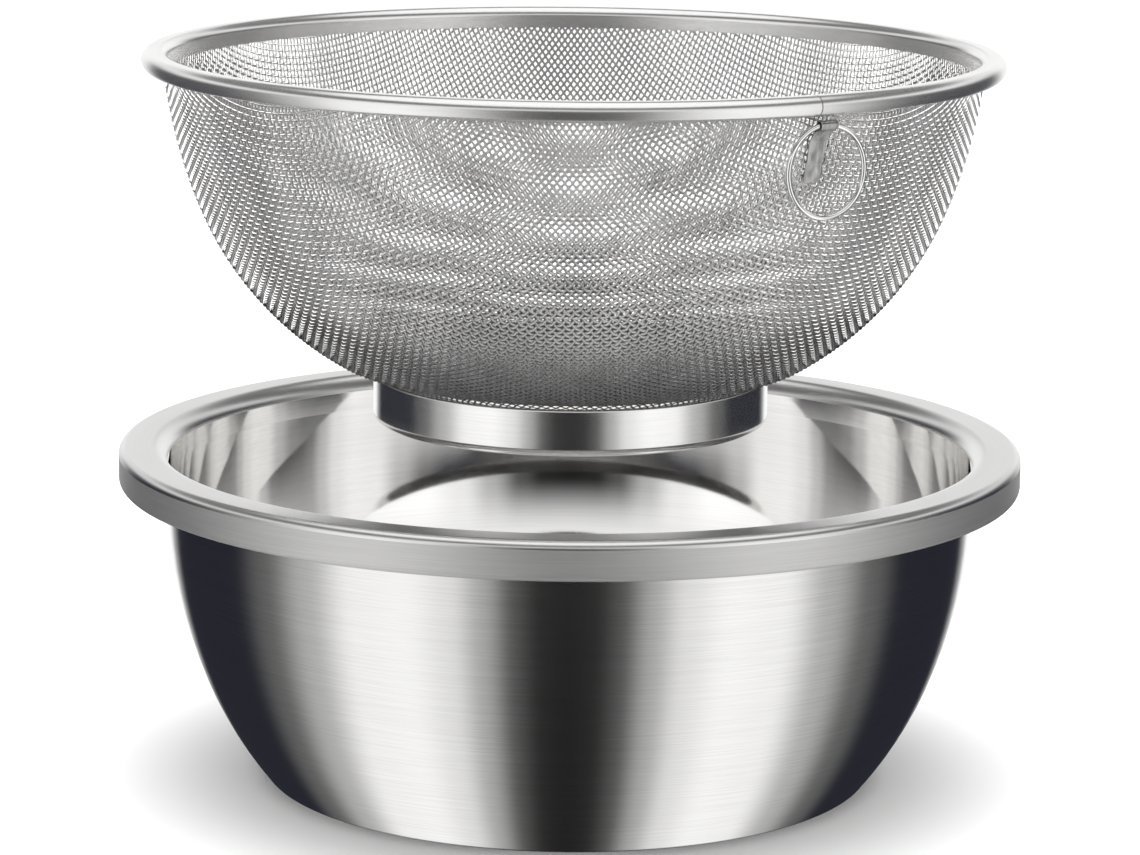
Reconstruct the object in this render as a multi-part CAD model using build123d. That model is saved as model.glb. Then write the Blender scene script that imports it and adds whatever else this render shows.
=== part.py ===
"""Basin-and-sieve set: a drawn steel bowl, and a woven mesh sieve that lifts straight out of it.

Millimetres, +Z up. The origin is the centre of the bowl's underside, and -Y is the side with
the hang ring. The sieve is drawn lifted clear of the bowl, with its foot just above the rim.
Each sub-part is one STEP file in parts/.
"""
import os
from math import cos, radians, sin

from build123d import *

# ---- bowl ------------------------------------------------------------------------------
BOWL_HEIGHT = 105.0          # underside to the top of the rim
BOWL_SHEET = 0.6             # drawn stainless sheet
BOWL_BASE_RADIUS = 92.0      # flat underside
BASE_CORNER = (4.0, 51.0)    # radius and turn of the bend between base and wall
LOWER_WALL = (124.5, 16.5)   # radius and turn of the lower wall
UPPER_WALL = (161.0, 22.5)   # the three turns add up to an upright neck
MOUTH_BEND = 4.4             # outside radius where the wall turns out into the rim
RIM_RADIUS = 140.0           # outside of the folded rim
RIM_BAND = 12.0              # height of the folded rim
RIM_CORNER = 2.5             # outside radius of the rim's two folds
HEM_GAP = 1.2                # from the hem's end to the neck

# ---- sieve -----------------------------------------------------------------------------
LIFT_GAP = 7.4               # bowl rim to the underside of the sieve's foot, as drawn
CLOTH = 0.6                  # closed shell that stands for the woven cloth
CLOTH_FLOOR_RADIUS = 58.0    # flat bottom of the cloth
CLOTH_CORNER = (33.5, 32.0)
CLOTH_LOWER_WALL = (98.7, 35.3)
CLOTH_UPPER_WALL = (153.3, 15.8)
CLOTH_TUCK = 4.2             # straight edge of the cloth, held inside the rim

BEAD_CENTRE = 129.0          # radius of the rolled bead's centre line
BEAD_RADIUS = 3.0
BEAD_ABOVE_CLOTH = 5.0       # bead centre above the end of the cloth's upper wall
RIM_STRIP = 0.5
SKIRT_RADIUS = 124.1         # inside face of the skirt that pinches the cloth
SKIRT_DROP = 3.7             # skirt's lower edge below the bead centre
CORE_WIRE_RADIUS = 2.4

FOOT_RADIUS = 61.2
FOOT_HEIGHT = 15.6           # foot underside to the cloth
FOOT_STRIP = 0.6
FOOT_FLANGE = 4.0            # flat of the top flange, welded under the cloth
FOOT_SHOULDER = 2.2
FOOT_CURL = 2.5
FOOT_HEM = 2.0
FLANGE_GAP = 0.05

# ---- hang tab and ring -----------------------------------------------------------------
TAB_WIDTH = 5.8
TAB_STRIP = 0.3
EYE_BORE = 1.1               # radius of the rolled eye's hole
EYE_RADIUS_OUT = 129.4       # eye centre from the sieve's axis
EYE_BELOW_BEAD = 5.6         # eye centre below the bead centre
TAB_OFF_CLOTH = 0.14
NECK_DROP = 4.6              # from the eye down to where the strap meets the cloth
OUTER_LEG_DROP = 11.4        # from the eye down to the end of the short leg
INNER_LEG_DROP = 17.0        # and of the long leg
RING_WIRE_RADIUS = 0.75
RING_RADIUS = 13.25          # centre line
RING_RISE = 0.175            # centres the curved wire in the straight eye

FOOT_BOTTOM = BOWL_HEIGHT + LIFT_GAP
CLOTH_BOTTOM = FOOT_BOTTOM + FOOT_HEIGHT


def walk(start, heading, steps, offset=0.0):
    """Tangent lines and arcs as (edges, end point). A step is (length, 0) or (radius, turn).

    The run is drawn `offset` to the left of the path, so two runs bound a strip of even
    thickness. Turns are in degrees, positive to the left.
    """
    def left(angle):
        return Vector(-sin(radians(angle)), cos(radians(angle)))

    point = Vector(*start) + left(heading) * offset
    edges = []
    for size, turn in steps:
        if turn == 0:
            end = point - left(heading + 90) * size
            edges.append(Line(point, end))
        else:
            side = 1 if turn > 0 else -1
            radius = size - side * offset
            centre = point + left(heading) * side * radius
            middle = centre - left(heading + turn / 2) * side * radius
            end = centre - left(heading + turn) * side * radius
            edges.append(ThreePointArc(point, middle, end))
        point = end
        heading += turn
    return edges, point


def spun_strip(start, heading, steps, thickness):
    """Solid of revolution of a strip; positive thickness lies to the left of the path."""
    near, near_end = walk(start, heading, steps)
    far, far_end = walk(start, heading, steps, thickness)
    outline = near + far + [Line(near_end, far_end), Line(near[0] @ 0, far[0] @ 0)]
    return revolve(Plane.XZ * make_face(outline), Axis.Z)


def bowl_shell():
    wall = [(BOWL_BASE_RADIUS, 0), BASE_CORNER, LOWER_WALL, UPPER_WALL]
    _, neck = walk((0, 0), 0, wall)
    underside = BOWL_HEIGHT - BOWL_SHEET
    fold = RIM_CORNER - BOWL_SHEET
    flare_end = neck.X + MOUTH_BEND
    rim = [
        (underside - MOUTH_BEND - neck.Y, 0),
        (MOUTH_BEND, -90),
        (RIM_RADIUS - RIM_CORNER - flare_end, 0),
        (fold, -90),
        (RIM_BAND - 2 * RIM_CORNER, 0),
        (fold, -90),
        (RIM_RADIUS - RIM_CORNER - neck.X - HEM_GAP, 0),
    ]
    print(f"bowl neck: radius {neck.X:.2f}, height {neck.Y:.2f}")
    return spun_strip((0, 0), 0, wall + rim, BOWL_SHEET)


CLOTH_WALL = [(CLOTH_FLOOR_RADIUS, 0), CLOTH_CORNER, CLOTH_LOWER_WALL, CLOTH_UPPER_WALL]
CLOTH_TOP = walk((0, CLOTH_BOTTOM), 0, CLOTH_WALL)[1]
BEAD_Z = CLOTH_TOP.Y + BEAD_ABOVE_CLOTH
EYE_Z = BEAD_Z - EYE_BELOW_BEAD


def mesh_basket():
    return spun_strip((0, CLOTH_BOTTOM), 0, CLOTH_WALL + [(CLOTH_TUCK, 0)], CLOTH)


def rim_strip():
    crown = BEAD_CENTRE - BEAD_RADIUS - SKIRT_RADIUS
    steps = [(SKIRT_DROP, 0), (BEAD_RADIUS, -90), (crown, 0), (BEAD_RADIUS, -270)]
    return spun_strip((SKIRT_RADIUS, BEAD_Z - SKIRT_DROP), 90, steps, -RIM_STRIP)


def rim_wire():
    return Pos(0, 0, BEAD_Z) * Torus(BEAD_CENTRE, CORE_WIRE_RADIUS)


def foot_ring():
    start = (FOOT_RADIUS - FOOT_SHOULDER - FOOT_FLANGE, CLOTH_BOTTOM - FLANGE_GAP)
    upright = FOOT_HEIGHT - FLANGE_GAP - FOOT_SHOULDER - FOOT_CURL
    steps = [
        (FOOT_FLANGE, 0),
        (FOOT_SHOULDER, -90),
        (upright, 0),
        (FOOT_CURL, -90),
        (FOOT_HEM, 0),
    ]
    return spun_strip(start, 0, steps, -FOOT_STRIP)


def cloth_radius(height):
    """Outside radius of the cloth's upper wall at a height."""
    radius, _ = CLOTH_UPPER_WALL
    heading = sum(turn for _, turn in CLOTH_WALL)
    centre_x = CLOTH_TOP.X - radius * sin(radians(heading))
    centre_y = CLOTH_TOP.Y + radius * cos(radians(heading))
    return centre_x + (radius**2 - (height - centre_y) ** 2) ** 0.5


def bar(start, end, width):
    """Flat bar whose right-hand edge runs from start to end."""
    along = (end - start).normalized()
    across = Vector(-along.Y, along.X) * width
    corners = [start, end, end + across, start + across]
    return Polygon(*[(p.X, p.Y) for p in corners], align=None)


def hang_tab():
    def on_cloth(drop):
        height = EYE_Z - drop
        return Vector(cloth_radius(height) + TAB_OFF_CLOTH, height)

    eye = Vector(EYE_RADIUS_OUT, EYE_Z)
    bend = on_cloth(NECK_DROP)
    long_end = on_cloth(INNER_LEG_DROP)
    short_end = on_cloth(OUTER_LEG_DROP)
    neck_end = eye + (bend - eye).normalized() * (EYE_BORE + TAB_STRIP / 2)
    eye_ring = Circle(EYE_BORE + TAB_STRIP) - Circle(EYE_BORE)
    section = Pos(eye.X, eye.Y) * eye_ring
    section += bar(bend, neck_end, -2 * TAB_STRIP)
    section += bar(bend, long_end, TAB_STRIP)
    section += bar(bend, short_end, 2 * TAB_STRIP)
    upright = Plane((0, 0, 0), x_dir=(0, -1, 0), z_dir=(-1, 0, 0))
    return extrude(upright * section, TAB_WIDTH / 2, both=True)


def hang_ring():
    centre = EYE_Z + RING_RISE - RING_RADIUS
    loop = Torus(RING_RADIUS, RING_WIRE_RADIUS)
    return Pos(0, -EYE_RADIUS_OUT, centre) * Rot(90, 0, 0) * loop


os.makedirs("parts", exist_ok=True)
for make in (bowl_shell, mesh_basket, rim_strip, rim_wire, foot_ring, hang_tab, hang_ring):
    export_step(make(), f"parts/{make.__name__}.step")
print(f"bead centre height {BEAD_Z:.2f}, eye height {EYE_Z:.2f}, cloth top radius {CLOTH_TOP.X:.2f}")
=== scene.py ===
# %% [markdown]
# # A basin with a lift-out sieve, in Blender
# The object is a drawn steel bowl with a woven wire sieve held just above it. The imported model
# is the fixed frame: it gives the bodies, the joints and every size. What is added here is the
# finish, and the shapes that a plain CAD mesh leaves out, such as thousands of woven wires.

import math

import bmesh
import bpy
from mathutils import Matrix, Vector


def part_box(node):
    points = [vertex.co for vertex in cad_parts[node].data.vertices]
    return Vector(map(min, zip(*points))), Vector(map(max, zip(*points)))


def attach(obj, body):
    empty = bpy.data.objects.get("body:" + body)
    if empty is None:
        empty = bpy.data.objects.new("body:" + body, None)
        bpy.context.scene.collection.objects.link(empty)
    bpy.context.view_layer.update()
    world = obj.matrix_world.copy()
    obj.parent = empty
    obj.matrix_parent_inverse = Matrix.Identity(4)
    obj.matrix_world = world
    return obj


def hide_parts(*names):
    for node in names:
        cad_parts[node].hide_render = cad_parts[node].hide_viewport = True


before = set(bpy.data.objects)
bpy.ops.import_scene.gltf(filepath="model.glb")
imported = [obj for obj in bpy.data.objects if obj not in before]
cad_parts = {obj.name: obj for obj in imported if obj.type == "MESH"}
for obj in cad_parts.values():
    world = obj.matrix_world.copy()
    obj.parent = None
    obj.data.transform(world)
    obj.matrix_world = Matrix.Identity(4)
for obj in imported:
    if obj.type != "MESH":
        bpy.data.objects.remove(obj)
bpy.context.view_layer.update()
MM = 0.001
TAU = 2 * math.pi

# %% [markdown]
# ## The camera
# A long lens from more than a metre away keeps the ellipses of the two rims nearly alike.
# The camera is aimed at the upright axis, tips down by eleven and a half degrees, and leans
# by a fraction of a degree, so its three axes are built from those angles.

# %% Camera
CAMERA_AZIMUTH = math.radians(-33.6)   # the hang ring sits this far to the right of the lens
CAMERA_DISTANCE = 1.3003
CAMERA_HEIGHT = 0.37325
CAMERA_TIP = 0.2003
CAMERA_LEAN = 0.0111
CAMERA_LENS = 134.44


def flat_direction(azimuth):
    """Level unit vector from the axis towards an azimuth, with 0 towards -Y."""
    return Vector((math.sin(azimuth), -math.cos(azimuth), 0))


towards_camera = flat_direction(CAMERA_AZIMUTH)
level_right = Vector((-towards_camera.y, towards_camera.x, 0))
forward = -towards_camera * math.cos(CAMERA_TIP) - Vector((0, 0, math.sin(CAMERA_TIP)))
level_up = level_right.cross(forward)
right = level_right * math.cos(CAMERA_LEAN) + level_up * math.sin(CAMERA_LEAN)
up = level_up * math.cos(CAMERA_LEAN) - level_right * math.sin(CAMERA_LEAN)
camera = bpy.data.objects.new("camera", bpy.data.cameras.new("camera"))
bpy.context.scene.collection.objects.link(camera)
camera.data.lens = CAMERA_LENS
camera.matrix_world = Matrix((right, up, -forward)).transposed().to_4x4()
camera.location = towards_camera * CAMERA_DISTANCE + Vector((0, 0, CAMERA_HEIGHT))
bpy.context.scene.camera = camera
bpy.context.scene.view_settings.view_transform = "Standard"
bpy.context.scene.cycles.glossy_bounces = 12   # light skips many times round inside a mirror bowl
print("camera at", [round(x, 3) for x in camera.location])

# %% [markdown]
# ## Small tools for node trees
# Every material, the world and the geometry trees are made of nodes. One helper adds a node
# and fills its sockets: a plain value is stored on the socket, and a socket is linked to it.

# %% Node helper


def node(tree, kind, settings=None, **sockets):
    """Adds a node. Sockets are named, with _ for a space, or numbered as s0, s1 and so on."""
    made = tree.nodes.new(kind)
    for key, value in (settings or {}).items():
        setattr(made, key, value)
    for key, value in sockets.items():
        number = key[1:] if key[0] == "s" and key[1:].isdigit() else None
        socket = made.inputs[int(number) if number else key.replace("_", " ")]
        if isinstance(value, bpy.types.NodeSocket):
            tree.links.new(value, socket)
        else:
            socket.default_value = value
    return made


def maths(tree, operation, *values):
    """One Math node, with its values or sockets in order."""
    sockets = {f"s{i}": v for i, v in enumerate(values)}
    return node(tree, "ShaderNodeMath", {"operation": operation}, **sockets).outputs[0]


def ramp(tree, factor, stops, smooth="EASE"):
    """A colour ramp of greys or colours from (place, value) stops."""
    made = node(tree, "ShaderNodeValToRGB", Fac=factor)
    band = made.color_ramp
    band.interpolation = smooth
    while len(band.elements) < len(stops):
        band.elements.new(0.5)
    for element, (place, value) in zip(band.elements, stops):
        element.position = place
        tone = (value, value, value) if isinstance(value, (int, float)) else value
        element.color = (*tone, 1)
    return made.outputs["Color"]


print("helpers ready:", node.__name__, maths.__name__, ramp.__name__)


# %% [markdown]
# ## Studio light
# Polished steel has hardly any colour of its own: what the eye reads as steel is the room
# reflected in it. So the room is painted first, as a world of soft boxes and dark flags.
# Two broad soft boxes stand either side of the lens with a narrow dark flag between them,
# wider dark flags stand beyond them, and white screens close the back.
#
# A bowl mirrors an ordinary room as bars that lean together towards its foot. To keep them
# upright, the room is laid out by facings instead of directions: each part of the room is
# painted by the way a mirror would have to face to send it to the lens, which is halfway
# between that part and the lens. The lens is taken as a constant, so the room stays put when
# another camera looks at it.
#
# A ceiling takes over high up, and a dark ground low down. The camera itself sees plain
# white, and the floor stays out of reflections. Large lamps could light the steel too, but
# a painted world gives soft edges between bright and dark without any noise.

# %% Tones of the room
NAVY = (0.018, 0.019, 0.027)
# Degrees from straight behind the object to straight ahead, and the tone of the wall there.
ROUND_THE_ROOM = [
    (0, 0.9), (10, 0.95), (22, 0.9), (28, 0.30), (34, NAVY), (72, NAVY), (86, 0.12), (102, 0.45),
    (118, 0.95), (134, 1.0), (147, 0.80), (156, 0.42), (165, 0.08), (172, 0.02), (180, 0.015),
]
# Heights run from 0 straight down to 1 straight up.
CEILING_STARTS = [(0.56, 0.0), (0.68, 1.0)]
CEILING_TONES = [(0.55, 0.86), (0.70, 0.80), (0.76, 0.10), (0.87, 0.10), (0.92, 0.95), (1.0, 1.0)]
GROUND_STARTS = [(0.76, 0.0), (0.86, 1.0)]   # how far down a facing looks
GROUND_TONE = (0.02, 0.02, 0.026, 1)
BACKDROP_TONE = (0.79, 0.79, 0.79, 1)
WORLD_STRENGTH = 1.2


def both_sides(stops):
    """Stops in degrees from straight behind to straight ahead, mirrored, on a ramp from 0 to 1."""
    left_half = [(angle / 360, tone) for angle, tone in stops]
    right_half = [(1 - angle / 360, tone) for angle, tone in reversed(stops)]
    return left_half + right_half[1:]


print("stops round the room:", len(both_sides(ROUND_THE_ROOM)))

# %% [markdown]
# The world's nodes turn a direction into a facing, a facing into a place on the ramp, and mix
# in the ceiling, the ground and the plain backdrop that only the camera sees.

# %% World of soft boxes and dark flags
world = bpy.data.worlds.new("studio")
bpy.context.scene.world = world
world.use_nodes = True
room = world.node_tree
room.nodes.clear()


def mixed(tree, factor, first, second):
    """Colour mix: `first` at 0 and `second` at 1."""
    return node(tree, "ShaderNodeMix", {"data_type": "RGBA"}, s0=factor, s6=first, s7=second).outputs[2]


direction = node(room, "ShaderNodeTexCoord").outputs["Generated"]
turned = node(room, "ShaderNodeVectorRotate", {"rotation_type": "Z_AXIS"},
              Vector=direction, Angle=-CAMERA_AZIMUTH).outputs[0]
to_lens = (0, -math.cos(CAMERA_TIP), math.sin(CAMERA_TIP))
halfway = node(room, "ShaderNodeVectorMath", {"operation": "ADD"}, s0=turned, s1=to_lens).outputs[0]
facing = node(room, "ShaderNodeVectorMath", {"operation": "NORMALIZE"}, s0=halfway).outputs[0]
parts = node(room, "ShaderNodeSeparateXYZ", Vector=facing).outputs
compass = maths(room, "ARCTAN2", parts[0], maths(room, "MULTIPLY", parts[1], -1.0))
around = maths(room, "ADD", maths(room, "DIVIDE", compass, math.pi), 0.5)
walls = ramp(room, around, both_sides(ROUND_THE_ROOM))

rise = node(room, "ShaderNodeSeparateXYZ", Vector=turned).outputs[2]
height = maths(room, "ADD", maths(room, "MULTIPLY", rise, 0.5), 0.5)
with_ceiling = mixed(room, ramp(room, height, CEILING_STARTS), walls, ramp(room, height, CEILING_TONES))
looks_down = ramp(room, maths(room, "MULTIPLY", parts[2], -1.0), GROUND_STARTS)
with_ground = mixed(room, looks_down, with_ceiling, GROUND_TONE)

seen = node(room, "ShaderNodeLightPath").outputs["Is Camera Ray"]
light_out = node(room, "ShaderNodeBackground", Color=mixed(room, seen, with_ground, BACKDROP_TONE),
                 Strength=WORLD_STRENGTH)
node(room, "ShaderNodeOutputWorld", Surface=light_out.outputs[0])
print("world nodes:", len(room.nodes))

# %% [markdown]
# ## Floor
# The floor is a large pale disc, so wide that its edge never shows. It stays out of reflections,
# because a white floor would wash out the dark lower half of a steel bowl.

# %% Floor
FLOOR_RADIUS = 14
floor_mesh = bpy.data.meshes.new("floor")
disc = bmesh.new()
bmesh.ops.create_circle(disc, cap_ends=True, radius=FLOOR_RADIUS, segments=96)
disc.to_mesh(floor_mesh)
disc.free()
floor = bpy.data.objects.new("floor", floor_mesh)
bpy.context.scene.collection.objects.link(floor)
floor.visible_glossy = False
paper = bpy.data.materials.new("pale floor")
paper.use_nodes = True
paper.node_tree.nodes["Principled BSDF"].inputs["Base Color"].default_value = (0.93, 0.93, 0.93, 1)
paper.node_tree.nodes["Principled BSDF"].inputs["Roughness"].default_value = 0.9
floor_mesh.materials.append(paper)
print("floor radius:", FLOOR_RADIUS, "m")

# %% [markdown]
# ## Lamps
# A wide lamp overhead whitens the floor and gives the soft contact shadow. It is hidden from
# reflections so that the steel keeps the room painted above.
#
# The cloth is hundreds of thin round wires, each of which mirrors the whole room at once and
# comes out an even grey. Two soft lamps at the sides shine on the cloth alone, through a
# light-linking collection, and put a glint on every wire.

# %% Lamps


def area_lamp(name, shape, size, energy, spot, target):
    """Soft lamp at a spot, shining at a target. size is (width, height) in metres."""
    made = bpy.data.objects.new(name, bpy.data.lights.new(name, "AREA"))
    bpy.context.scene.collection.objects.link(made)
    made.data.shape = shape
    made.data.size, made.data.size_y = size
    made.data.energy = energy
    made.location = spot
    made.rotation_euler = (spot - target).to_track_quat("Z", "Y").to_euler()
    return made


SIEVE_MIDDLE = Vector((0, 0, 0.2))
SIDE_LAMP_AWAY, SIDE_LAMP_HEIGHT = 1.3, 0.45
overhead = area_lamp("overhead lamp", "DISK", (4.0, 4.0), 150, Vector((0, 0, 3)), Vector((0, 0, 0)))
overhead.visible_glossy = False
lit_cloth = bpy.data.collections.new("lit cloth")
for degrees in (-105, 105):
    spot = flat_direction(CAMERA_AZIMUTH + math.radians(degrees)) * SIDE_LAMP_AWAY
    spot.z = SIDE_LAMP_HEIGHT
    side_lamp = area_lamp("side lamp", "RECTANGLE", (0.9, 0.7), 10, spot, SIEVE_MIDDLE)
    side_lamp.light_linking.receiver_collection = lit_cloth
    print(side_lamp.name, "at", [round(x, 2) for x in spot])

# %% [markdown]
# ## Turned shapes
# The bowl, the sieve's rim and its foot are sheet metal formed in the round. Each is one
# strip of even thickness, drawn in section as straight runs and tangent arcs, and spun about
# the axis. The same runs and arcs drew the CAD parts, but here every arc is divided finely,
# because a mirror finish shows each flat face of a coarse mesh.
#
# The section stores how far each point is along the strip. That becomes the V of the UV map,
# and brushed lines follow it later.

# %% Section helpers
ARC_STEP = 3.0   # degrees between points on an arc


def walk(start, heading, steps, side=0.0):
    """Points (radius, height, run, step number) in mm along lines (length, 0) and arcs (radius, turn).

    The points keep `side` mm to the left of the path. Turns are degrees, positive to the left.
    """
    x, z, run = start[0], start[1], 0.0
    points = []
    for number, (size, turn) in enumerate(steps):
        count = max(4, math.ceil(abs(turn) / ARC_STEP)) if turn else 1
        for i in range(count + 1):
            share = i / count
            angle = math.radians(heading + turn * share)
            if turn:
                reach = math.copysign(size, turn)
                first = math.radians(heading)
                px = x + reach * (math.sin(angle) - math.sin(first))
                pz = z - reach * (math.cos(angle) - math.cos(first))
                gone = size * abs(math.radians(turn)) * share
            else:
                px, pz = x + size * share * math.cos(angle), z + size * share * math.sin(angle)
                gone = size * share
            if i or not points:
                points.append((px - side * math.sin(angle), pz + side * math.cos(angle), run + gone, number))
        x, z, run, heading = px, pz, run + gone, heading + turn
    return points


print("a quarter bend has", len(walk((0, 0), 0, [(1.0, 90)])), "points")

# %% [markdown]
# Blender has a Screw modifier and a Spin tool, but neither keeps the length along the section
# for the UV map, or stops short with closed ends for an open seam. So the strip is spun by
# hand: a ring of vertices for each point of the outline, and a band of faces between rings.

# %% Mesh from lists
SHARP = 35   # degrees between faces above which an edge stays crisp


def mesh_object(name, corners, faces, places=None):
    """Linked object from lists, smooth except across edges sharper than an angle."""
    mesh = bpy.data.meshes.new(name)
    mesh.from_pydata(corners, [], faces)
    if places:
        uv = mesh.uv_layers.new(name="along_and_around")
        flat = [n for face in places for place in face for n in place]
        uv.data.foreach_set("uv", flat)
    tidy = bmesh.new()
    tidy.from_mesh(mesh)
    bmesh.ops.recalc_face_normals(tidy, faces=tidy.faces)
    tidy.to_mesh(mesh)
    tidy.free()
    mesh.shade_smooth()
    mesh.set_sharp_from_angle(angle=math.radians(SHARP))
    made = bpy.data.objects.new(name, mesh)
    bpy.context.scene.collection.objects.link(made)
    return made


def triangles(thing):
    """How many triangles a mesh object has."""
    return sum(len(p.vertices) - 2 for p in thing.data.polygons)


print("edges sharper than", SHARP, "degrees stay crisp")

# %% Spin a strip into a mesh
COLUMNS = 360   # faces in a whole turn


def spin_strip(name, near, far, start=0.0, sweep=TAU):
    """Object made by turning the strip between two rows of points about Z, angles anticlockwise from +X."""
    whole = sweep > TAU - 1e-6
    columns = COLUMNS if whole else COLUMNS + 1
    outline = near + far[::-1]
    corners, rings = [], []
    for radius, z, _, _ in outline:
        if radius < 1e-6:
            rings.append([len(corners)] * columns)
            corners.append((0, 0, z * MM))
            continue
        rings.append(list(range(len(corners), len(corners) + columns)))
        for k in range(columns):
            angle = start + sweep * k / COLUMNS
            corners.append((radius * math.cos(angle) * MM, radius * math.sin(angle) * MM, z * MM))
    faces, places, sections = [], [], []
    for i in range(len(outline)):
        j = (i + 1) % len(outline)
        for k in range(COLUMNS):
            after = (k + 1) % columns
            quad = [(rings[i][k], k, i), (rings[i][after], k + 1, i),
                    (rings[j][after], k + 1, j), (rings[j][k], k, j)]
            unique = [q for n, q in enumerate(quad) if q[0] != quad[n - 1][0]]
            if len(unique) > 2:
                faces.append([q[0] for q in unique])
                places.append([(q[1] / COLUMNS, outline[q[2]][2] * MM) for q in unique])
                sections.append(i)
    if not whole:
        last = len(outline) - 1
        for i in range(len(near) - 1):
            for k, turn in ((0, 1), (COLUMNS, -1)):
                quad = [rings[i][k], rings[i + 1][k], rings[last - i - 1][k], rings[last - i][k]][::turn]
                faces.append(quad)
                places.append([(k / COLUMNS, outline[i][2] * MM)] * 4)
                sections.append(i)
    return mesh_object(name, corners, faces, places), sections


print("a whole turn has", COLUMNS, "columns of faces")

# %% [markdown]
# ## Shared surface effects
# Two effects come back on every finish: the fine lines left by brushing while the part spins,
# and the hairline scratches and smears of use. Each is a node group with named inputs, built
# once and given its own values in each material.
#
# Brushed lines read the UV's V, so they run round the axis on any slope, and Object
# coordinates for how they change along their length, so there is no seam.

# %% Group: brushed lines


def socket(group, name, way, kind="NodeSocketFloat", value=None):
    """Declares one named input or output of a node group."""
    made = group.interface.new_socket(name=name, in_out=way, socket_type=kind)
    if value is not None:
        made.default_value = value
    return made


def brushed_lines():
    """Group with Lines (fine), Bands (broad) that run round the axis."""
    group = bpy.data.node_groups.new("brushed lines", "ShaderNodeTree")
    socket(group, "Line Width", "INPUT", value=0.0003)
    socket(group, "Line Length", "INPUT", value=0.03)
    socket(group, "Lines", "OUTPUT")
    socket(group, "Bands", "OUTPUT")
    asked = node(group, "NodeGroupInput")
    at = node(group, "ShaderNodeSeparateXYZ", Vector=node(group, "ShaderNodeTexCoord").outputs["Object"])
    along = node(group, "ShaderNodeSeparateXYZ",
                 Vector=node(group, "ShaderNodeUVMap", {"uv_map": "along_and_around"}).outputs[0])
    x = maths(group, "DIVIDE", at.outputs[0], asked.outputs["Line Length"])
    y = maths(group, "DIVIDE", at.outputs[1], asked.outputs["Line Length"])
    v = maths(group, "DIVIDE", along.outputs[1], asked.outputs["Line Width"])
    place = node(group, "ShaderNodeCombineXYZ", s0=x, s1=y, s2=v).outputs[0]
    fine = node(group, "ShaderNodeTexNoise", Vector=place, Scale=1.0, Detail=3.0, Roughness=0.65)
    slow = node(group, "ShaderNodeVectorMath", {"operation": "MULTIPLY"}, s0=place, s1=(0.6, 0.6, 0.13))
    broad = node(group, "ShaderNodeTexNoise", Vector=slow.outputs[0], Scale=1.0, Detail=2.0)
    node(group, "NodeGroupOutput", Lines=fine.outputs[0], Bands=broad.outputs[0])
    return group


LINES = brushed_lines()
print(LINES.name, "has", len(LINES.nodes), "nodes")

# %% [markdown]
# Hairline scratches are the edges of stretched Voronoi cells, seen only where a noise lets
# them through, in three mixed directions. Smears are a broad soft noise, like the marks that
# a cloth leaves when it dries the bowl.

# %% Group: scratches and smears


def use_marks():
    """Group with Scratches (thin, mixed directions) and Smears (soft patches)."""
    group = bpy.data.node_groups.new("use marks", "ShaderNodeTree")
    socket(group, "Scratch Size", "INPUT", value=0.02)
    socket(group, "Smear Size", "INPUT", value=0.05)
    socket(group, "Scratches", "OUTPUT")
    socket(group, "Smears", "OUTPUT")
    asked = node(group, "NodeGroupInput")
    at = node(group, "ShaderNodeTexCoord").outputs["Object"]
    size = maths(group, "DIVIDE", 1.0, asked.outputs["Scratch Size"])
    scaled = node(group, "ShaderNodeVectorMath", {"operation": "SCALE"}, s0=at, Scale=size).outputs[0]
    total = None
    for turn in ((0.3, 0.2, 0.5), (1.1, -0.6, 1.9), (-0.7, 1.3, 2.8)):
        aimed = node(group, "ShaderNodeMapping", Vector=scaled, Rotation=turn,
                     Scale=(0.25, 6.0, 6.0)).outputs[0]
        cells = node(group, "ShaderNodeTexVoronoi", {"feature": "DISTANCE_TO_EDGE"}, Vector=aimed, Scale=0.7)
        thin = maths(group, "LESS_THAN", cells.outputs[0], 0.004)
        patchy = node(group, "ShaderNodeTexNoise", Vector=aimed, Scale=0.35).outputs[0]
        line = maths(group, "MULTIPLY", thin, maths(group, "GREATER_THAN", patchy, 0.6))
        total = line if total is None else maths(group, "MAXIMUM", total, line)
    smear_size = maths(group, "DIVIDE", 1.0, asked.outputs["Smear Size"])
    smear = node(group, "ShaderNodeTexNoise", Vector=at, Scale=smear_size, Detail=3.0, Roughness=0.6)
    node(group, "NodeGroupOutput", Scratches=total, Smears=smear.outputs[0])
    return group


MARKS = use_marks()
print(MARKS.name, "has", len(MARKS.nodes), "nodes")

# %% [markdown]
# ## Finishes
# All of it is stainless steel, so the materials differ only in how the metal was worked, and
# one helper makes them all. Uniform values sit on the shader's own sockets; only colour,
# roughness and the bump vary over the surface. A painted image would blur up close, so
# everything is drawn by nodes.

# %% Steel material helper
WARMTH = (1.0, 0.995, 0.985)   # stainless is a little warmer than neutral
# Dark grey of the painted shade low on the cloth.
PAINTED_SHADE_TONE = (0.10, 0.10, 0.105, 1)
BUMP_DEPTH = 0.0001
SCRATCH_ROUGHNESS = 0.015
SMOOTHEST = 0.02


def between(tree, factor, low, high):
    """Moves a 0 to 1 value into a range."""
    return node(tree, "ShaderNodeMapRange", Value=factor, To_Min=low, To_Max=high).outputs[0]


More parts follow.
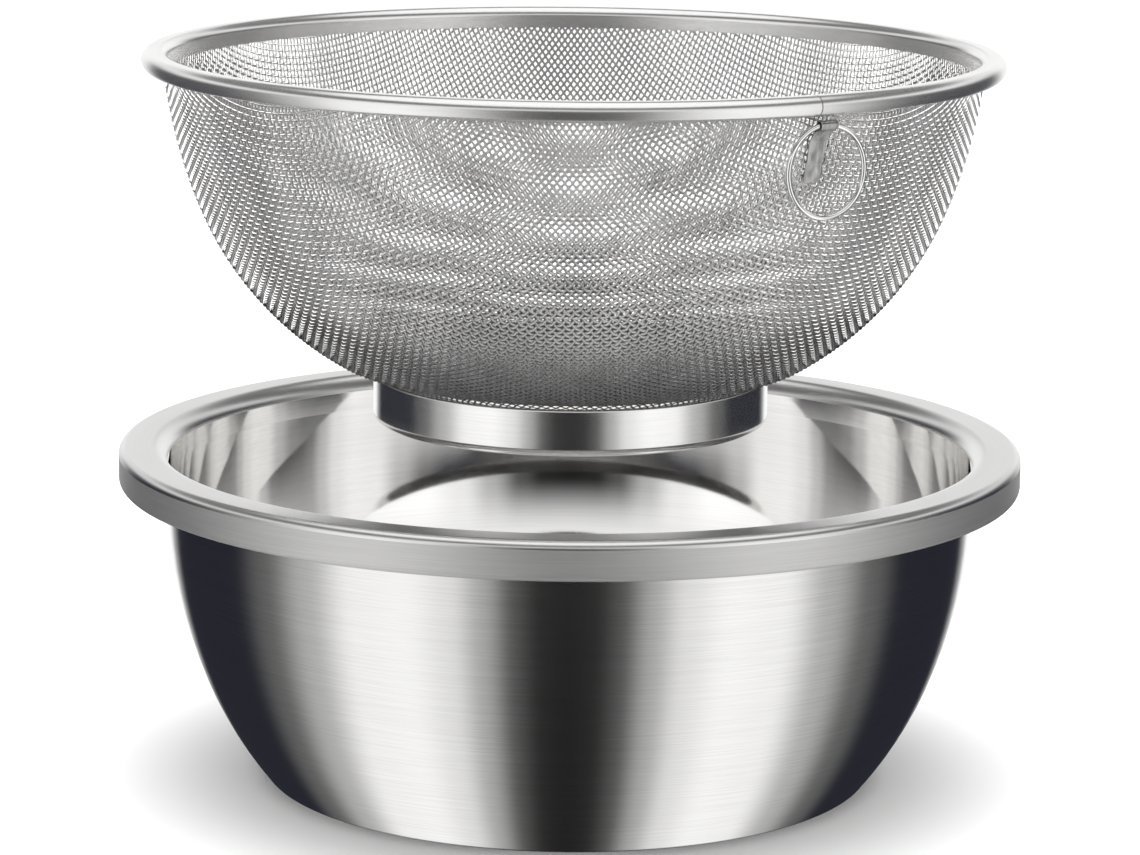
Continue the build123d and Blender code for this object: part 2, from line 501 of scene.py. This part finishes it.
def steel(name, tone, rough, line_size, line_bump=0.0, band=0.0, smear=0.02, anisotropic=0.0,
          metallic=1.0, painted_shade=None):
    """Stainless finish.

    tone and rough are (low, high) across the brushed lines, and line_size is their (width,
    length). band and smear widen the roughness. painted_shade is (from height, to height, strength):
    a painted shade that darkens the colour at full strength below the first height and is gone by the
    second.
    """
    material = bpy.data.materials.new(name)
    material.use_nodes = True
    tree = material.node_tree
    shader = tree.nodes["Principled BSDF"]
    shader.inputs["Metallic"].default_value = metallic
    shader.inputs["Anisotropic"].default_value = anisotropic
    if anisotropic:
        shader.inputs["Anisotropic Rotation"].default_value = 0.25
        grain = node(tree, "ShaderNodeTangent", {"direction_type": "UV_MAP", "uv_map": "along_and_around"})
        tree.links.new(grain.outputs[0], shader.inputs["Tangent"])
    lines = node(tree, "ShaderNodeGroup", {"node_tree": LINES},
                 Line_Width=line_size[0], Line_Length=line_size[1]).outputs
    marks = node(tree, "ShaderNodeGroup", {"node_tree": MARKS}).outputs

    low, high = (tuple(t * c for c in WARMTH) for t in tone)
    colour = ramp(tree, lines["Lines"], [(0.3, low), (0.7, high)])
    # Painted shade: below a height the colour is mixed towards a dark grey, fading out higher up.
    if painted_shade:
        at = node(tree, "ShaderNodeTexCoord").outputs["Object"]
        painted_shade_mix = node(tree, "ShaderNodeMapRange", {"interpolation_type": "SMOOTHSTEP"},
                      Value=node(tree, "ShaderNodeSeparateXYZ", Vector=at).outputs[2],
                      From_Min=painted_shade[0], From_Max=painted_shade[1], To_Min=painted_shade[2], To_Max=0.0).outputs[0]
        colour = mixed(tree, painted_shade_mix, colour, PAINTED_SHADE_TONE)
    tree.links.new(colour, shader.inputs["Base Color"])

    roughness = between(tree, lines["Lines"], *rough)
    roughness = maths(tree, "ADD", roughness, between(tree, lines["Bands"], -band, band))
    roughness = maths(tree, "ADD", roughness, between(tree, marks["Smears"], -smear, smear))
    scratched = maths(tree, "MULTIPLY", marks["Scratches"], SCRATCH_ROUGHNESS)
    roughness = maths(tree, "MAXIMUM", maths(tree, "ADD", roughness, scratched), SMOOTHEST)
    tree.links.new(roughness, shader.inputs["Roughness"])
    raised = maths(tree, "MULTIPLY", lines["Lines"], line_bump)
    bump = node(tree, "ShaderNodeBump", Height=raised, Strength=1.0, Distance=BUMP_DEPTH)
    tree.links.new(bump.outputs[0], shader.inputs["Normal"])
    return material


print("bump depth:", BUMP_DEPTH / MM, "mm")

# %% [markdown]
# The bowl's outside is brushed while it turns on a lathe. The lines stretch every reflection
# across themselves, so the shader is anisotropic, with its tangent taken from the UV map. The
# inside is buffed with paste until it is nearly a mirror.

# %% Finishes of the bowl's wall
brushed = steel("brushed steel", (0.73, 0.81), (0.16, 0.21), (0.00028, 0.035), line_bump=0.015,
                band=0.02, smear=0.01, anisotropic=0.85)
mirror = steel("mirror steel", (0.84, 0.88), (0.03, 0.05), (0.0006, 0.05), band=0.006, smear=0.015)
print("finishes:", brushed.name, "and", mirror.name)

# %% [markdown]
# The folded rim is only satin on top, and its upright band is matt. Matt metal has a fine
# tooth that scatters some of the light, which a value a little under fully metallic gives
# more simply than a rougher bump would.

# %% Finishes of the bowl's rim
satin = steel("satin steel", (0.76, 0.80), (0.27, 0.31), (0.0004, 0.04), line_bump=0.01, band=0.02)
matt = steel("matt steel", (0.60, 0.66), (0.42, 0.48), (0.0004, 0.04), line_bump=0.01, band=0.03,
             metallic=0.88)
print("finishes:", satin.name, "and", matt.name)

# %% [markdown]
# The sieve's foot is polished strip, its rolled rim is strip as it leaves the rollers, and the
# strap that holds the ring is blotched from spot welding. The strap's colour is also darkened
# all over as a painted dark reflection of its bent legs.

# %% Finishes of the sieve's strips
STRIP_LINES = (0.0005, 0.03)
strip = steel("polished strip", (0.80, 0.84), (0.12, 0.16), STRIP_LINES, band=0.02, metallic=0.96)
rolled = steel("rolled strip", (0.78, 0.82), (0.20, 0.25), STRIP_LINES, band=0.02, metallic=0.92)
# Strap tone: weld blotches, and darkened all over as a painted dark reflection of its bent legs.
blotched_and_shaded = steel("dull strap", (0.30, 0.62), (0.20, 0.30), (0.0009, 0.004), band=0.02, smear=0.05)
print("finishes:", [finish.name for finish in (strip, rolled, blotched_and_shaded)])

# %% [markdown]
# The cloth is drawn wire. Its colour carries a painted shade near the foot, darker towards the
# bottom and fading with height, read from Object coordinates. The ring's wire is polished bright.

# %% Finishes of the wires
WIRE_LINES = (0.0005, 0.02)
cloth_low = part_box("mesh_basket")[0].z
# The cloth's wire gets a painted shade that darkens it towards the foot.
wire = steel("drawn wire", (0.56, 0.72), (0.20, 0.26), WIRE_LINES, painted_shade=(cloth_low, cloth_low + 0.036, 0.80))
bright_wire = steel("bright wire", (0.88, 0.94), (0.05, 0.08), WIRE_LINES)
print("finishes:", wire.name, "and", bright_wire.name, "with film up from", round(cloth_low / MM, 1), "mm")

# %% [markdown]
# ## The bowl
# One sheet, 0.6 mm thick, is drawn into a wall of three arcs and an upright neck, then turned
# out over the mouth and folded down into a deep rim.

# %% Bowl section
BOWL_SHEET = 0.6
BOWL_HEIGHT = round(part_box("bowl_shell")[1].z / MM, 3)
RIM_RADIUS = round(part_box("bowl_shell")[1].x / MM, 2)
BOWL_BASE = 92.0
BOWL_WALL = [(BOWL_BASE, 0), (4.0, 51.0), (124.5, 16.5), (161.0, 22.5)]
MOUTH_BEND = 4.4
RIM_BAND = 12.0
RIM_CORNER = 2.5
HEM_GAP = 1.2


def bowl_steps():
    """The bowl's section as runs and arcs: the wall, the neck, and the folded rim."""
    neck_x, neck_z = walk((0, 0), 0, BOWL_WALL)[-1][:2]
    fold = RIM_CORNER - BOWL_SHEET
    flat = RIM_RADIUS - RIM_CORNER - neck_x
    return BOWL_WALL + [
        (BOWL_HEIGHT - BOWL_SHEET - MOUTH_BEND - neck_z, 0), (MOUTH_BEND, -90), (flat - MOUTH_BEND, 0),
        (fold, -90), (RIM_BAND - 2 * RIM_CORNER, 0), (fold, -90), (flat - HEM_GAP, 0),
    ]


steps = bowl_steps()
NECK = len(BOWL_WALL)   # the step that is the upright neck
BAND = len(steps) - 3   # the step that is the upright band of the rim
print("section steps:", len(steps), "neck is step", NECK, "and band is step", BAND)

# %% [markdown]
# The bowl is spun as two pieces, the wall and the rim with its neck. Each face takes its
# finish from where it is along the section: mirror inside, brushed outside, satin on the rim,
# and matt on the rim's band and hem. The rim stays out of reflections, so that the sieve's
# bright foot mirrors the room and not the rim just below it.

# %% Spin the bowl


def stretch(side, first, last):
    """The part of the bowl's section from one step up to another, `side` mm to the left."""
    whole = walk((0, 0), 0, steps, side)
    before = [i for i, point in enumerate(whole) if point[3] < first]
    return [point for point in whole[(before[-1] if before else 0):] if point[3] < last]


for name, first, last in (("bowl_wall", 0, NECK), ("bowl_rim", NECK, len(steps))):
    outer = stretch(0, first, last)
    piece, sections = spin_strip(name, outer, stretch(BOWL_SHEET, first, last))
    for finish in (mirror, satin, matt) if first else (mirror, brushed):
        piece.data.materials.append(finish)
    last_point = len(outer) - 1
    for face, section in zip(piece.data.polygons, sections):
        step = outer[min(last_point, section + 1, 2 * last_point + 1 - section)][3]
        inside = section > last_point and step <= NECK
        face.material_index = 0 if inside else 2 if step >= BAND else 1
    piece.visible_glossy = not first
    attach(piece, "bowl")
    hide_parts("bowl_shell")
    print(name, "triangles:", triangles(piece))

# %% [markdown]
# ## The sieve's foot
# A strip is rolled to a short cylinder. Its top turns in as a flange that is welded under the
# cloth, and its lower edge is curled in, so nothing sharp stands on the table.

# %% Foot
foot_low, foot_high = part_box("foot_ring")
FOOT_RADIUS = round(foot_high.x / MM, 2)
FOOT_HEIGHT = round((foot_high.z - foot_low.z) / MM, 3)
FOOT_FLANGE, FOOT_SHOULDER, FOOT_CURL, FOOT_HEM = 4.0, 2.2, 2.5, 2.0
FOOT_STEPS = [(FOOT_FLANGE, 0), (FOOT_SHOULDER, -90), (FOOT_HEIGHT - FOOT_SHOULDER - FOOT_CURL, 0),
              (FOOT_CURL, -90), (FOOT_HEM, 0)]
FOOT_STRIP = 0.6
foot_start = (FOOT_RADIUS - FOOT_SHOULDER - FOOT_FLANGE, foot_high.z / MM)
foot, _ = spin_strip("foot", walk(foot_start, 0, FOOT_STEPS), walk(foot_start, 0, FOOT_STEPS, -FOOT_STRIP))
foot.data.materials.append(strip)
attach(foot, "strainer")
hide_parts("foot_ring")
print("foot triangles:", triangles(foot))

# %% [markdown]
# ## The sieve's rolled rim
# The rim is a bright strip. Its inner edge hangs as a skirt inside the cloth, and the rest
# rolls over a stout wire into a round bead that grips the cloth's edge. The strip's two ends
# meet beside the hang tab, and the butt seam is left a hair open, as on the real thing, so
# the spin stops short of a whole turn.

# %% Rim strip with its butt seam
BEAD_CENTRE = 129.0
BEAD_RADIUS = 3.0
SKIRT_RADIUS = 124.1
SKIRT_DROP = 3.7
RIM_STRIP = 0.5
bead_z = round(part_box("rim_strip")[1].z / MM, 3) - BEAD_RADIUS
RIM_STEPS = [(SKIRT_DROP, 0), (BEAD_RADIUS, -90), (BEAD_CENTRE - BEAD_RADIUS - SKIRT_RADIUS, 0),
             (BEAD_RADIUS, -270)]
SEAM_AT = math.radians(-90 - 1.6)   # just to one side of the hang tab
SEAM_GAP = 0.35 / BEAD_CENTRE
skirt_start = (SKIRT_RADIUS, bead_z - SKIRT_DROP)
bead, _ = spin_strip("rolled_rim", walk(skirt_start, 90, RIM_STEPS),
                     walk(skirt_start, 90, RIM_STEPS, -RIM_STRIP), SEAM_AT + SEAM_GAP / 2, TAU - SEAM_GAP)
bead.data.materials.append(rolled)
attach(bead, "strainer")
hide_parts("rim_strip")
print("rim triangles:", triangles(bead), "bead centre at", bead_z)

# %% [markdown]
# ## The woven cloth
# The sieve's wall is plain-woven wire: two families of wires at right angles, each going over
# and under the other, pressed into a bowl. Drawing twenty-four thousand crossings by hand is
# out of the question, and a bump map would have no holes, so a Geometry Nodes tree weaves it.
#
# Straight wires are laid out flat, cut to a disc, and each point is carried onto the bowl: its
# distance from the middle becomes the distance along the sieve's section, and its direction
# is kept. The tree weaves one family, and the second is the same tree turned by a right angle
# with its waves reversed.

# %% The cloth's section as a curve
CLOTH_WALL = [(58.0, 0), (33.5, 32.0), (98.7, 35.3), (153.3, 15.8), (4.2, 0)]
cloth_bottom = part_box("mesh_basket")[0].z / MM
cloth_path = walk((0, cloth_bottom), 0, CLOTH_WALL)
CLOTH_REACH = cloth_path[-1][2]
TUCK_START = CLOTH_REACH - CLOTH_WALL[-1][0]


def section_curve(name, points):
    """Poly curve object through section points, in the XZ plane."""
    curve = bpy.data.curves.new(name, "CURVE")
    curve.dimensions = "3D"
    line = curve.splines.new("POLY")
    line.points.add(len(points) - 1)
    for point, (radius, z, _, _) in zip(line.points, points):
        point.co = (radius * MM, 0, z * MM, 1)
    made = bpy.data.objects.new(name, curve)
    bpy.context.scene.collection.objects.link(made)
    return made


print("cloth reaches", round(CLOTH_REACH, 1), "mm from the middle")

# %% Wires laid flat
PITCH = 2.1
WIRE_RADIUS = 0.40
WIRE_SIDES = 6
WAVER = 0.1             # how far a wire strays from its line, in mm
WAVER_SCALE = 38.0      # bends of that waver in a metre
PINCH_RUN = 0.006       # the waves flatten over this run, in metres, where the rim grips the cloth
PINCHED_WAVE = 0.1      # what is left of them there


def laid_flat(tree, asked):
    """Straight wires as lines of points on a square grid, every second one, cut to a disc."""
    pitch = asked["Pitch"]
    side = maths(tree, "MULTIPLY", maths(tree, "MULTIPLY", asked["Wires Each Side"], pitch), -1.0)
    count = maths(tree, "ADD", maths(tree, "MULTIPLY", asked["Wires Each Side"], 2.0), 1.0)

    def row(first, second, step_one, step_two, how_many):
        start = node(tree, "ShaderNodeCombineXYZ", s0=first, s1=second).outputs[0]
        step = node(tree, "ShaderNodeCombineXYZ", s0=step_one, s1=step_two).outputs[0]
        return node(tree, "GeometryNodeMeshLine", Count=how_many, Start_Location=start,
                    Offset=step).outputs[0]

    one_wire = row(side, 0.0, pitch, 0.0, count)
    first_side = maths(tree, "ADD", side, maths(tree, "MULTIPLY", asked["First Wire"], pitch))
    every_second = maths(tree, "MULTIPLY", pitch, 2.0)
    across = row(0.0, first_side, 0.0, every_second, maths(tree, "ADD", asked["Wires Each Side"], 1.0))
    laid = node(tree, "GeometryNodeInstanceOnPoints", Points=across, Instance=one_wire).outputs[0]
    flat = node(tree, "GeometryNodeRealizeInstances", Geometry=laid).outputs[0]
    at = node(tree, "GeometryNodeInputPosition").outputs[0]
    run = node(tree, "ShaderNodeVectorMath", {"operation": "LENGTH"}, s0=at).outputs["Value"]
    outside = maths(tree, "GREATER_THAN", run, asked["Reach"])
    cut = node(tree, "GeometryNodeDeleteGeometry", {"domain": "POINT"}, Geometry=flat, Selection=outside)
    return cut.outputs[0], at, run


print("wires each side of the middle:", math.floor(CLOTH_REACH / PITCH))

# %% [markdown]
# The weave's height is the product of a cosine along the wire and one across it, so each wire
# rises where its neighbour dips. Near the rim the waves flatten, because the skirt and the
# bead squeeze the cloth there.

# %% Over and under


def off_the_section(tree, asked, at, run):
    """How far a point stands out from the section: the weave's waves, less the cloth's depth."""
    split = node(tree, "ShaderNodeSeparateXYZ", Vector=at).outputs
    turns = [maths(tree, "MULTIPLY", maths(tree, "DIVIDE", split[i], asked["Pitch"]), math.pi)
             for i in (0, 1)]
    wave = maths(tree, "MULTIPLY", maths(tree, "COSINE", turns[0]), maths(tree, "COSINE", turns[1]))
    pinch = node(tree, "ShaderNodeMapRange", {"interpolation_type": "SMOOTHSTEP"}, Value=run,
                 From_Min=maths(tree, "SUBTRACT", asked["Tuck"], PINCH_RUN), From_Max=asked["Tuck"],
                 To_Min=1.0, To_Max=PINCHED_WAVE).outputs[0]
    lift = maths(tree, "MULTIPLY", maths(tree, "MULTIPLY", wave, asked["Wave"]), pinch)
    depth = maths(tree, "ADD", asked["Wire Radius"],
                  maths(tree, "MULTIPLY", maths(tree, "ABSOLUTE", asked["Wave"]), pinch))
    return maths(tree, "SUBTRACT", lift, depth)


print("waves flatten over the last", PINCH_RUN / MM, "mm below the rim")

# %% [markdown]
# A flat point is carried onto the bowl by sampling the section curve at the point's distance
# from the middle. A little noise first nudges the wires off their lines, because pressing a
# flat cloth into a bowl never leaves them quite even.

# %% Onto the bowl


def onto_the_bowl(tree, asked, at, out):
    """Position of a flat point once it is carried onto the sieve."""
    uneven = node(tree, "ShaderNodeTexNoise", Vector=at, Scale=WAVER_SCALE, Detail=1.0).outputs[1]
    centred = node(tree, "ShaderNodeVectorMath", {"operation": "SUBTRACT"}, s0=uneven, s1=(0.5, 0.5, 0.5))
    nudge = node(tree, "ShaderNodeVectorMath", {"operation": "SCALE"}, s0=centred.outputs[0],
                 Scale=maths(tree, "MULTIPLY", asked["Waver"], 4.0)).outputs[0]
    level = node(tree, "ShaderNodeVectorMath", {"operation": "MULTIPLY"}, s0=nudge, s1=(1, 1, 0)).outputs[0]
    moved = node(tree, "ShaderNodeVectorMath", {"operation": "ADD"}, s0=at, s1=level).outputs[0]
    moved_run = node(tree, "ShaderNodeVectorMath", {"operation": "LENGTH"}, s0=moved).outputs["Value"]
    heading = node(tree, "ShaderNodeVectorMath", {"operation": "NORMALIZE"}, s0=moved).outputs[0]
    sample = node(tree, "GeometryNodeSampleCurve", {"mode": "LENGTH"}, Curves=asked["Section"],
                  Length=moved_run).outputs
    place = node(tree, "ShaderNodeSeparateXYZ", Vector=sample["Position"]).outputs
    slope = node(tree, "ShaderNodeSeparateXYZ", Vector=sample["Tangent"]).outputs
    radius = maths(tree, "ADD", place[0], maths(tree, "MULTIPLY", slope[2], out))
    rise = maths(tree, "SUBTRACT", place[2], maths(tree, "MULTIPLY", slope[0], out))
    spread = node(tree, "ShaderNodeVectorMath", {"operation": "SCALE"}, s0=heading, Scale=radius).outputs[0]
    upright = node(tree, "ShaderNodeCombineXYZ", s2=rise).outputs[0]
    return node(tree, "ShaderNodeVectorMath", {"operation": "ADD"}, s0=spread, s1=upright).outputs[0]


print("waver:", WAVER, "mm")

# %% [markdown]
# The last step gives every line of points a round section, turns the family to its angle, and
# makes it real geometry with its steel. The named inputs let one tree weave all four pieces.

# %% Weaving tree


def weaving_tree():
    """Geometry Nodes tree: section curve in, one family of crimped wires out."""
    tree = bpy.data.node_groups.new("weave wires", "GeometryNodeTree")
    socket(tree, "Section", "INPUT", "NodeSocketGeometry")
    for name, value in (("Pitch", PITCH * MM), ("Wire Radius", WIRE_RADIUS * MM),
                        ("Wave", WIRE_RADIUS * MM), ("Reach", CLOTH_REACH * MM),
                        ("Tuck", TUCK_START * MM), ("Turn", 0.0), ("Waver", WAVER * MM)):
        socket(tree, name, "INPUT", value=value)
    socket(tree, "Wires Each Side", "INPUT", "NodeSocketInt", math.floor(CLOTH_REACH / PITCH))
    socket(tree, "First Wire", "INPUT", "NodeSocketInt", 0)
    socket(tree, "Sides", "INPUT", "NodeSocketInt", WIRE_SIDES)
    socket(tree, "Steel", "INPUT", "NodeSocketMaterial")
    socket(tree, "Wires", "OUTPUT", "NodeSocketGeometry")
    asked = node(tree, "NodeGroupInput").outputs
    flat, at, run = laid_flat(tree, asked)
    landed = onto_the_bowl(tree, asked, at, off_the_section(tree, asked, at, run))
    shaped = node(tree, "GeometryNodeSetPosition", Geometry=flat, Position=landed).outputs[0]
    spines = node(tree, "GeometryNodeMeshToCurve", Mesh=shaped).outputs[0]
    ring = node(tree, "GeometryNodeCurvePrimitiveCircle", Resolution=asked["Sides"],
                Radius=asked["Wire Radius"]).outputs[0]
    tubes = node(tree, "GeometryNodeCurveToMesh", Curve=spines, Profile_Curve=ring, Fill_Caps=True)
    smooth = node(tree, "GeometryNodeSetShadeSmooth", Geometry=tubes.outputs[0]).outputs[0]
    spun = node(tree, "GeometryNodeTransform", Geometry=smooth,
                Rotation=node(tree, "ShaderNodeCombineXYZ", s2=asked["Turn"]).outputs[0]).outputs[0]
    real = node(tree, "GeometryNodeRealizeInstances", Geometry=spun).outputs[0]
    painted = node(tree, "GeometryNodeSetMaterial", Geometry=real, Material=asked["Steel"]).outputs[0]
    node(tree, "NodeGroupOutput", Wires=painted)
    return tree


WEAVE = weaving_tree()
print("weaving tree nodes:", len(WEAVE.nodes))

# %% [markdown]
# The tree runs as a modifier on the section curve. Its result is copied into a plain mesh and
# the modifier goes, so each piece that rides on the sieve is an ordinary object. Each family
# is grown as its even and its odd wires, which keeps every piece a moderate size.

# %% Grow a tree into a mesh


def grown(name, source, tree, values):
    """Runs a tree on an object and returns its result as a plain mesh object; the source is removed."""
    grower = source.modifiers.new("grow", "NODES")
    grower.node_group = tree
    identifiers = {s.name: s.identifier for s in tree.interface.items_tree if s.item_type == "SOCKET"}
    for key, value in values.items():
        grower[identifiers[key]] = value
    seen_by = bpy.context.evaluated_depsgraph_get()
    mesh = bpy.data.meshes.new_from_object(source.evaluated_get(seen_by))
    mesh.name = name
    source.modifiers.remove(grower)
    bpy.data.objects.remove(source)
    made = bpy.data.objects.new(name, mesh)
    bpy.context.scene.collection.objects.link(made)
    return made


print("grower ready:", grown.__name__)

# %% Weave the two families
BIAS = CAMERA_AZIMUTH - math.pi / 4   # the wires run at 45 degrees across the front
for family, turn, wave in (("warp", BIAS, 1), ("weft", BIAS + math.pi / 2, -1)):
    for first, half in enumerate(("even", "odd")):
        cloth = grown(f"{family}_wires_{half}", section_curve("cloth section", cloth_path), WEAVE, {
            "Pitch": PITCH * MM, "Wire Radius": WIRE_RADIUS * MM, "Wave": wave * WIRE_RADIUS * MM,
            "Reach": CLOTH_REACH * MM, "Tuck": TUCK_START * MM, "Turn": turn, "Waver": WAVER * MM,
            "Wires Each Side": math.floor(CLOTH_REACH / PITCH), "First Wire": first,
            "Sides": WIRE_SIDES, "Steel": wire})
        lit_cloth.objects.link(cloth)
        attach(cloth, "strainer")
        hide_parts("mesh_basket")
        print(cloth.name, "triangles:", triangles(cloth))

# %% [markdown]
# ## Hang tab
# A narrow strap is folded round a pin to make an eye, and its two legs are spot-welded to the
# cloth, one on top of the other. The ring swings in the eye. The strap is laid out from the
# side as one centre line, widened to a band and given its thickness; the welds are shallow
# dimples pressed into its legs.

# %% Strap's centre line
EYE_BORE = 1.1
TAB_STRIP = 0.3
TAB_OFF_CLOTH = 0.14
NECK_DROP, SHORT_LEG_DROP, LONG_LEG_DROP = 4.6, 11.4, 17.0
NECK_TOP = 2.6   # from the eye's centre down to where the strap's two layers come together
eye_low, eye_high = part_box("hang_tab")
eye = Vector((-eye_low.y, eye_high.z)) / MM - Vector((EYE_BORE + TAB_STRIP, EYE_BORE + TAB_STRIP))
TAB_WIDTH = (eye_high.x - eye_low.x) / MM


def cloth_radius(height):
    """Outside radius of the cloth in mm at a height."""
    for (r0, z0, *_), (r1, z1, *_) in zip(cloth_path, cloth_path[1:]):
        if z0 <= height <= z1:
            return r0 + (r1 - r0) * (height - z0) / (z1 - z0)
    return cloth_path[-1][0]


def rounded(points, times=4):
    """Corner cutting: a smooth line near a few given points, with its ends kept."""
    for _ in range(times):
        cut = [points[0]]
        for a, b in zip(points, points[1:]):
            cut += [a.lerp(b, 0.25), a.lerp(b, 0.75)]
        points = cut + [points[-1]]
    return points


def leg(drops, layer):
    """Points on the cloth at drops below the eye, a number of strap layers out from it."""
    off = TAB_OFF_CLOTH + TAB_STRIP * (layer + 0.5)
    return [Vector((cloth_radius(eye.y - drop) + off, eye.y - drop)) for drop in drops]


def strap_line():
    """Centre line of the strap seen from the side: up the long leg, round the pin, down the short one."""
    root = leg([NECK_DROP], 0)[0]
    along = (eye - root).normalized()
    inward = Vector((-along.y, along.x))
    reach = EYE_BORE + TAB_STRIP / 2
    start = math.atan2(-along.y, -along.x)
    round_eye = [eye + Vector((math.cos(a), math.sin(a))) * reach * 1.03
                 for a in (start - math.radians(turn) for turn in range(40, 321, 20))]
    neck = eye - along * NECK_TOP
    half_strip = inward * TAB_STRIP * 0.5
    up_leg = leg([LONG_LEG_DROP, 14.5, 12.0, 9.5, 7.0, NECK_DROP + 0.6], 0) + [neck + half_strip]
    down_leg = [neck - half_strip] + leg([NECK_DROP + 0.4, 7.0, 9.0, SHORT_LEG_DROP], 1)
    return rounded(up_leg + round_eye + down_leg, 3)


print("strap points:", len(strap_line()), "eye at", [round(v, 2) for v in eye])

# %% [markdown]
# The sheet has a fine grid of faces so that the welds can be real dimples. Solidify gives it
# thickness on both sides of the centre line, and Bevel eases the sheared edges, which would
# otherwise show no highlight at all.

# %% Strap
STRAP_COLUMNS = 28
WELD_DROPS = (9.2, 14.4)
WELD_RADIUS, WELD_DEPTH = 2.1, 0.13
EASED_EDGE = 0.09


def strap(name):
    """The strap as a sheet through its centre line, with two weld dimples, then thickened and eased."""
    line = strap_line()
    welds = [Vector((0, eye.y - drop)) for drop in WELD_DROPS]
    corners, faces = [], []
    for point in line:
        for k in range(STRAP_COLUMNS + 1):
            x = TAB_WIDTH * (k / STRAP_COLUMNS - 0.5)
            depth = 0.0
            if point.y < eye.y - NECK_DROP - 0.8:
                near = min((Vector((x, point.y)) - weld).length for weld in welds) / WELD_RADIUS
                depth = WELD_DEPTH * max(0.0, 1 - near * near) ** 2
            corners.append((x * MM, -(point.x - depth) * MM, point.y * MM))
    for i in range(len(line) - 1):
        for k in range(STRAP_COLUMNS):
            a = i * (STRAP_COLUMNS + 1) + k
            faces.append([a, a + 1, a + STRAP_COLUMNS + 2, a + STRAP_COLUMNS + 1])
    made = mesh_object(name, corners, faces)
    thick = made.modifiers.new("thickness", "SOLIDIFY")
    thick.thickness = TAB_STRIP * 0.94 * MM
    thick.offset = 0
    eased = made.modifiers.new("eased edges", "BEVEL")
    eased.width = EASED_EDGE * MM
    eased.segments = 2
    eased.limit_method = "ANGLE"
    eased.angle_limit = math.radians(50)
    return made


tab = strap("hang_strap")
tab.data.materials.append(blotched_and_shaded)
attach(tab, "strainer")
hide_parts("hang_tab")
print("strap sheet faces:", len(tab.data.polygons))

# %% [markdown]
# ## Ring
# The ring is a plain torus. Blender's own torus has no UV map along its wire in metres, which
# the steel's fine lines need, so it is made from lists like the rest.

# %% Ring
ring_low, ring_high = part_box("hang_ring")
RING_WIRE = (ring_high.y - ring_low.y) / 2
RING_MID = (ring_high.x - ring_low.x) / 2 - RING_WIRE
ring_middle = (ring_low + ring_high) / 2


def torus(name, centre, mid, thin, around, across):
    """Upright ring about a level Y axis, with UVs."""
    corners, faces, places = [], [], []
    for i in range(around):
        a = TAU * i / around
        for j in range(across):
            b = TAU * j / across
            reach = mid + thin * math.cos(b)
            corners.append(centre + Vector((reach * math.cos(a), thin * math.sin(b), reach * math.sin(a))))
    for i in range(around):
        for j in range(across):
            quad = [(i, j), (i + 1, j), (i + 1, j + 1), (i, j + 1)]
            faces.append([a % around * across + b % across for a, b in quad])
            places.append([(a / around, b / across * TAU * thin) for a, b in quad])
    return mesh_object(name, corners, faces, places)


ring = torus("ring", ring_middle, RING_MID, RING_WIRE, 160, 20)
ring.data.materials.append(bright_wire)
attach(ring, "hang_ring")
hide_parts("hang_ring")
print("ring triangles:", triangles(ring))

# %% [markdown]
# ## Finishes on the CAD parts that stay
# The stout wire inside the rim is right as it is, and shows only through the seam.

# %% Core wire
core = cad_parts["rim_wire"]
core.data.materials.clear()
core.data.materials.append(wire)
print("core wire finish:", core.data.materials[0].name)
